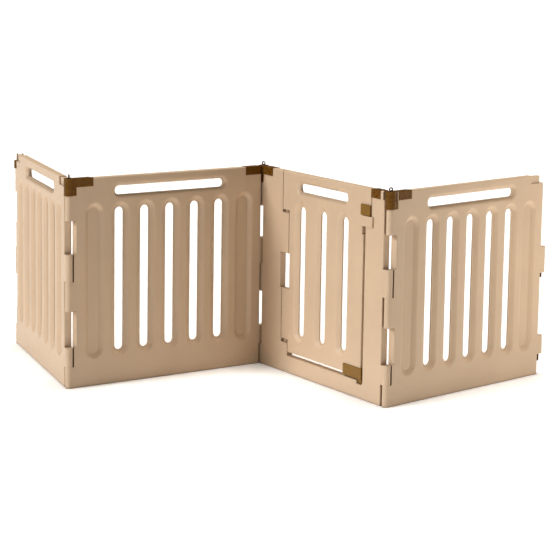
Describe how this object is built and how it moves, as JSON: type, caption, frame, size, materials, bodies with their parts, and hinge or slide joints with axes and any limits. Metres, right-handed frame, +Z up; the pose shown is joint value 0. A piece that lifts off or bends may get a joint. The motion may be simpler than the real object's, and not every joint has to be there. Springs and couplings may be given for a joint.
{
  "type": "folding pet playpen",
  "caption": "Freestanding plastic pet playpen of hinged upright slotted panels, one holding a latched swing door, joined at brown corner clips with lift-out lock pins.",
  "frame": {"origin": "on the floor under the middle of the pen's bounding box", "axes": "+Z up; +X from the free left end towards the free right end, along the zigzag; the outer side of the left, door and right panels faces -Y"},
  "size_m": [1.907, 1.0222, 0.727],
  "materials": {
    "cream_plastic": "satin moulded tan polyethylene with a fine texture",
    "brown_plastic": "semi-gloss dark brown moulding",
    "dark_brown_plastic": "semi-gloss dark brown moulding",
    "olive_brown_plastic": "semi-gloss olive brown moulding",
    "pin_plastic": "smooth tan moulding"
  },
  "bodies": {
    "panel_2": {"panel_2": "cream_plastic", "cap_2": "brown_plastic", "clip_2_left": "brown_plastic", "clip_2_right": "brown_plastic", "peg_2_upper": "dark_brown_plastic", "peg_2_lower": "dark_brown_plastic"},
    "panel_1": {"panel_1": "cream_plastic", "cap_1": "brown_plastic", "peg_1_upper": "dark_brown_plastic", "peg_1_lower": "dark_brown_plastic"},
    "panel_3": {"panel_3_frame": "cream_plastic", "cap_3": "brown_plastic", "clip_3_left": "brown_plastic", "clip_3_right": "brown_plastic", "peg_3_upper": "dark_brown_plastic", "peg_3_lower": "dark_brown_plastic", "latch_keeper": "cream_plastic"},
    "panel_4": {"panel_4": "cream_plastic", "cap_4": "brown_plastic", "clip_4_left": "brown_plastic", "peg_4_upper": "dark_brown_plastic", "peg_4_lower": "dark_brown_plastic"},
    "door": {"panel_3_door": "cream_plastic", "door_pin_upper": "pin_plastic", "door_pin_lower": "pin_plastic"},
    "top_latch": {"top_latch": "olive_brown_plastic"},
    "bottom_latch": {"bottom_latch": "olive_brown_plastic"},
    "lock_pin_2": {"lock_pin_2": "dark_brown_plastic"},
    "lock_pin_3": {"lock_pin_3": "dark_brown_plastic"},
    "lock_pin_4": {"lock_pin_4": "dark_brown_plastic"}
  },
  "joints": [
    {"name": "fold_a", "type": "hinge", "parent": "panel_2", "child": "panel_1", "pos_m": [-0.69012, -0.26766, 0.35], "axis": [0, 0, 1], "range_deg": [-2, 187]},
    {"name": "fold_b", "type": "hinge", "parent": "panel_2", "child": "panel_3", "pos_m": [-0.03882, 0.1969, 0.35], "axis": [0, 0, 1], "range_deg": [-2.5, 155]},
    {"name": "fold_c", "type": "hinge", "parent": "panel_3", "child": "panel_4", "pos_m": [0.366, -0.49311, 0.35], "axis": [0, 0, 1], "range_deg": [-183, 2]},
    {"name": "door_swing", "type": "hinge", "parent": "panel_3", "child": "door", "pos_m": [0.05024, 0.0451, 0.35], "axis": [0, 0, 1], "range_deg": [-90, 90]},
    {"name": "top_latch_lift", "type": "slide", "parent": "door", "child": "top_latch", "axis": [0, 0, 1], "range_m": [0, 0.012]},
    {"name": "bottom_latch_lift", "type": "slide", "parent": "door", "child": "bottom_latch", "axis": [0, 0, 1], "range_m": [0, 0.012]},
    {"name": "lock_pin_2_lift", "type": "slide", "parent": "panel_2", "child": "lock_pin_2", "axis": [0, 0, 1], "range_m": [0, 0.052]},
    {"name": "lock_pin_3_lift", "type": "slide", "parent": "panel_3", "child": "lock_pin_3", "axis": [0, 0, 1], "range_m": [0, 0.052]},
    {"name": "lock_pin_4_lift", "type": "slide", "parent": "panel_4", "child": "lock_pin_4", "axis": [0, 0, 1], "range_m": [0, 0.052]}
  ]
}
